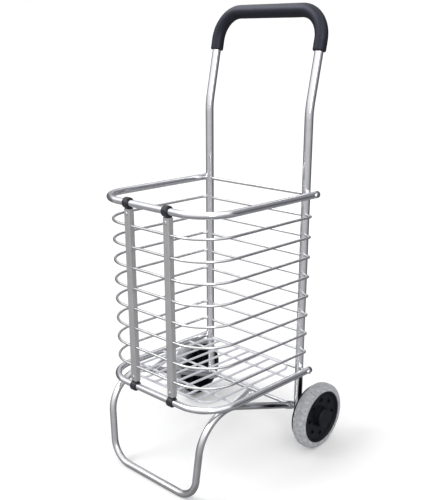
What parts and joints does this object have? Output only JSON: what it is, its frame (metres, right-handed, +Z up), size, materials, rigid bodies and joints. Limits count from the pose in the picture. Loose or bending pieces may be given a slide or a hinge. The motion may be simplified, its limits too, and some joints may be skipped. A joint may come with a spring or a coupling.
{
  "type": "shopping trolley",
  "caption": "Two-wheeled folding shopping trolley with a bent tube frame, foam-covered handle, open wire basket with a wire floor and a swing-down leg stand.",
  "frame": {"origin": "on the floor, under the middle of the footprint: where the two wheels and the leg stand rest", "axes": "+X along the wheel axle towards the trolley's right-hand wheel, +Y backwards towards the person pulling it, +Z up"},
  "size_m": [0.4368, 0.4788, 0.9214],
  "materials": {
    "bright_tube": "bright polished",
    "bright_wire": "bright drawn wire",
    "floor_wire": "satin drawn wire",
    "channel_metal": "matte anodised",
    "rivet_metal": "bright",
    "catch_metal": "bright pressed",
    "steel": "zinc plated",
    "foam": "closed-cell foam, soft sheen",
    "black_plastic": "moulded, matte",
    "dark_plastic": "moulded, satin",
    "hub_plastic": "moulded, satin",
    "tyre_rubber": "soft speckled grey"
  },
  "bodies": {
    "frame": {"frame_tube": "bright_tube", "upright_foot_plugs": "dark_plastic", "handle_grip": "foam", "axle": "steel", "axle_spacers": "dark_plastic", "axle_washers": "steel", "axle_cap_left": "hub_plastic", "axle_cap_right": "hub_plastic"},
    "top_rim": {"top_rim_tube": "bright_tube", "top_rim_rod": "bright_wire", "top_rim_end_caps": "dark_plastic", "top_rim_rod_nuts": "rivet_metal"},
    "floor": {"bottom_rim_tube": "bright_tube", "bottom_rim_rod": "bright_wire", "bottom_rim_end_caps": "dark_plastic", "bottom_rim_rod_nuts": "rivet_metal", "floor_cross_wire_rear": "floor_wire", "floor_cross_wire_middle": "floor_wire", "floor_cross_wire_front": "floor_wire", "floor_loop": "floor_wire", "floor_long_wires": "floor_wire"},
    "leg_stand": {"leg_stand": "bright_tube", "leg_catch_left": "catch_metal", "leg_catch_right": "catch_metal", "leg_catch_rivets": "rivet_metal"},
    "ring_1": {"wire_ring_1": "bright_wire"},
    "ring_2": {"wire_ring_2": "bright_wire"},
    "ring_3": {"wire_ring_3": "bright_wire"},
    "ring_4": {"wire_ring_4": "bright_wire"},
    "ring_5": {"wire_ring_5": "bright_wire"},
    "ring_6": {"wire_ring_6": "bright_wire"},
    "ring_7": {"wire_ring_7": "bright_wire"},
    "ring_8": {"wire_ring_8": "bright_wire"},
    "channel_left": {"front_channel_left": "channel_metal", "top_clip_left": "black_plastic", "bottom_clip_left": "black_plastic", "clip_rivets_left": "rivet_metal"},
    "wheel_left": {"tyre_left": "tyre_rubber", "wheel_hub_left": "hub_plastic"},
    "channel_right": {"front_channel_right": "channel_metal", "top_clip_right": "black_plastic", "bottom_clip_right": "black_plastic", "clip_rivets_right": "rivet_metal"},
    "wheel_right": {"tyre_right": "tyre_rubber", "wheel_hub_right": "hub_plastic"}
  },
  "joints": [
    {"name": "top_rim_fold", "type": "hinge", "parent": "frame", "child": "top_rim", "pos_m": [0, 0.14898, 0.56124], "axis": [-1, 0, 0], "range_deg": [0, 75]},
    {"name": "ring_1_fold", "type": "hinge", "parent": "frame", "child": "ring_1", "pos_m": [0, 0.14421, 0.5165], "axis": [-1, 0, 0], "range_deg": [0, 75]},
    {"name": "ring_2_fold", "type": "hinge", "parent": "frame", "child": "ring_2", "pos_m": [0, 0.13965, 0.47374], "axis": [-1, 0, 0], "range_deg": [0, 75]},
    {"name": "ring_3_fold", "type": "hinge", "parent": "frame", "child": "ring_3", "pos_m": [0, 0.13509, 0.43098], "axis": [-1, 0, 0], "range_deg": [0, 75]},
    {"name": "ring_4_fold", "type": "hinge", "parent": "frame", "child": "ring_4", "pos_m": [0, 0.13053, 0.38822], "axis": [-1, 0, 0], "range_deg": [0, 75]},
    {"name": "ring_5_fold", "type": "hinge", "parent": "frame", "child": "ring_5", "pos_m": [0, 0.12597, 0.34547], "axis": [-1, 0, 0], "range_deg": [0, 75]},
    {"name": "ring_6_fold", "type": "hinge", "parent": "frame", "child": "ring_6", "pos_m": [0, 0.12142, 0.30271], "axis": [-1, 0, 0], "range_deg": [0, 75]},
    {"name": "ring_7_fold", "type": "hinge", "parent": "frame", "child": "ring_7", "pos_m": [0, 0.11686, 0.25995], "axis": [-1, 0, 0], "range_deg": [0, 75]},
    {"name": "ring_8_fold", "type": "hinge", "parent": "frame", "child": "ring_8", "pos_m": [0, 0.1123, 0.21719], "axis": [-1, 0, 0], "range_deg": [0, 75]},
    {"name": "floor_fold", "type": "hinge", "parent": "frame", "child": "floor", "pos_m": [0, 0.10742, 0.17145], "axis": [-1, 0, 0], "range_deg": [0, 75]},
    {"name": "channel_left_hinge", "type": "hinge", "parent": "top_rim", "child": "channel_left", "pos_m": [-0.0565, -0.16126, 0.59432], "axis": [-1, 0, 0], "range_deg": [-75, 0]},
    {"name": "channel_right_hinge", "type": "hinge", "parent": "top_rim", "child": "channel_right", "pos_m": [0.0565, -0.16126, 0.59432], "axis": [-1, 0, 0], "range_deg": [-75, 0]},
    {"name": "leg_stand_fold", "type": "hinge", "parent": "frame", "child": "leg_stand", "pos_m": [0, 0.09714, 0.075], "axis": [-1, 0, 0], "range_deg": [0, 49.5]},
    {"name": "wheel_left_spin", "type": "hinge", "parent": "frame", "child": "wheel_left", "pos_m": [-0.194, 0.09714, 0.075], "axis": [1, 0, 0], "continuous": true},
    {"name": "wheel_right_spin", "type": "hinge", "parent": "frame", "child": "wheel_right", "pos_m": [0.194, 0.09714, 0.075], "axis": [1, 0, 0], "continuous": true}
  ],
  "couplings": [
    {"joint": "ring_1_fold", "follows": "top_rim_fold", "ratio": 1},
    {"joint": "ring_2_fold", "follows": "top_rim_fold", "ratio": 1},
    {"joint": "ring_3_fold", "follows": "top_rim_fold", "ratio": 1},
    {"joint": "ring_4_fold", "follows": "top_rim_fold", "ratio": 1},
    {"joint": "ring_5_fold", "follows": "top_rim_fold", "ratio": 1},
    {"joint": "ring_6_fold", "follows": "top_rim_fold", "ratio": 1},
    {"joint": "ring_7_fold", "follows": "top_rim_fold", "ratio": 1},
    {"joint": "ring_8_fold", "follows": "top_rim_fold", "ratio": 1},
    {"joint": "floor_fold", "follows": "top_rim_fold", "ratio": 1},
    {"joint": "channel_left_hinge", "follows": "top_rim_fold", "ratio": -1},
    {"joint": "channel_right_hinge", "follows": "top_rim_fold", "ratio": -1},
    {"joint": "leg_stand_fold", "follows": "top_rim_fold", "ratio": 0.66}
  ]
}
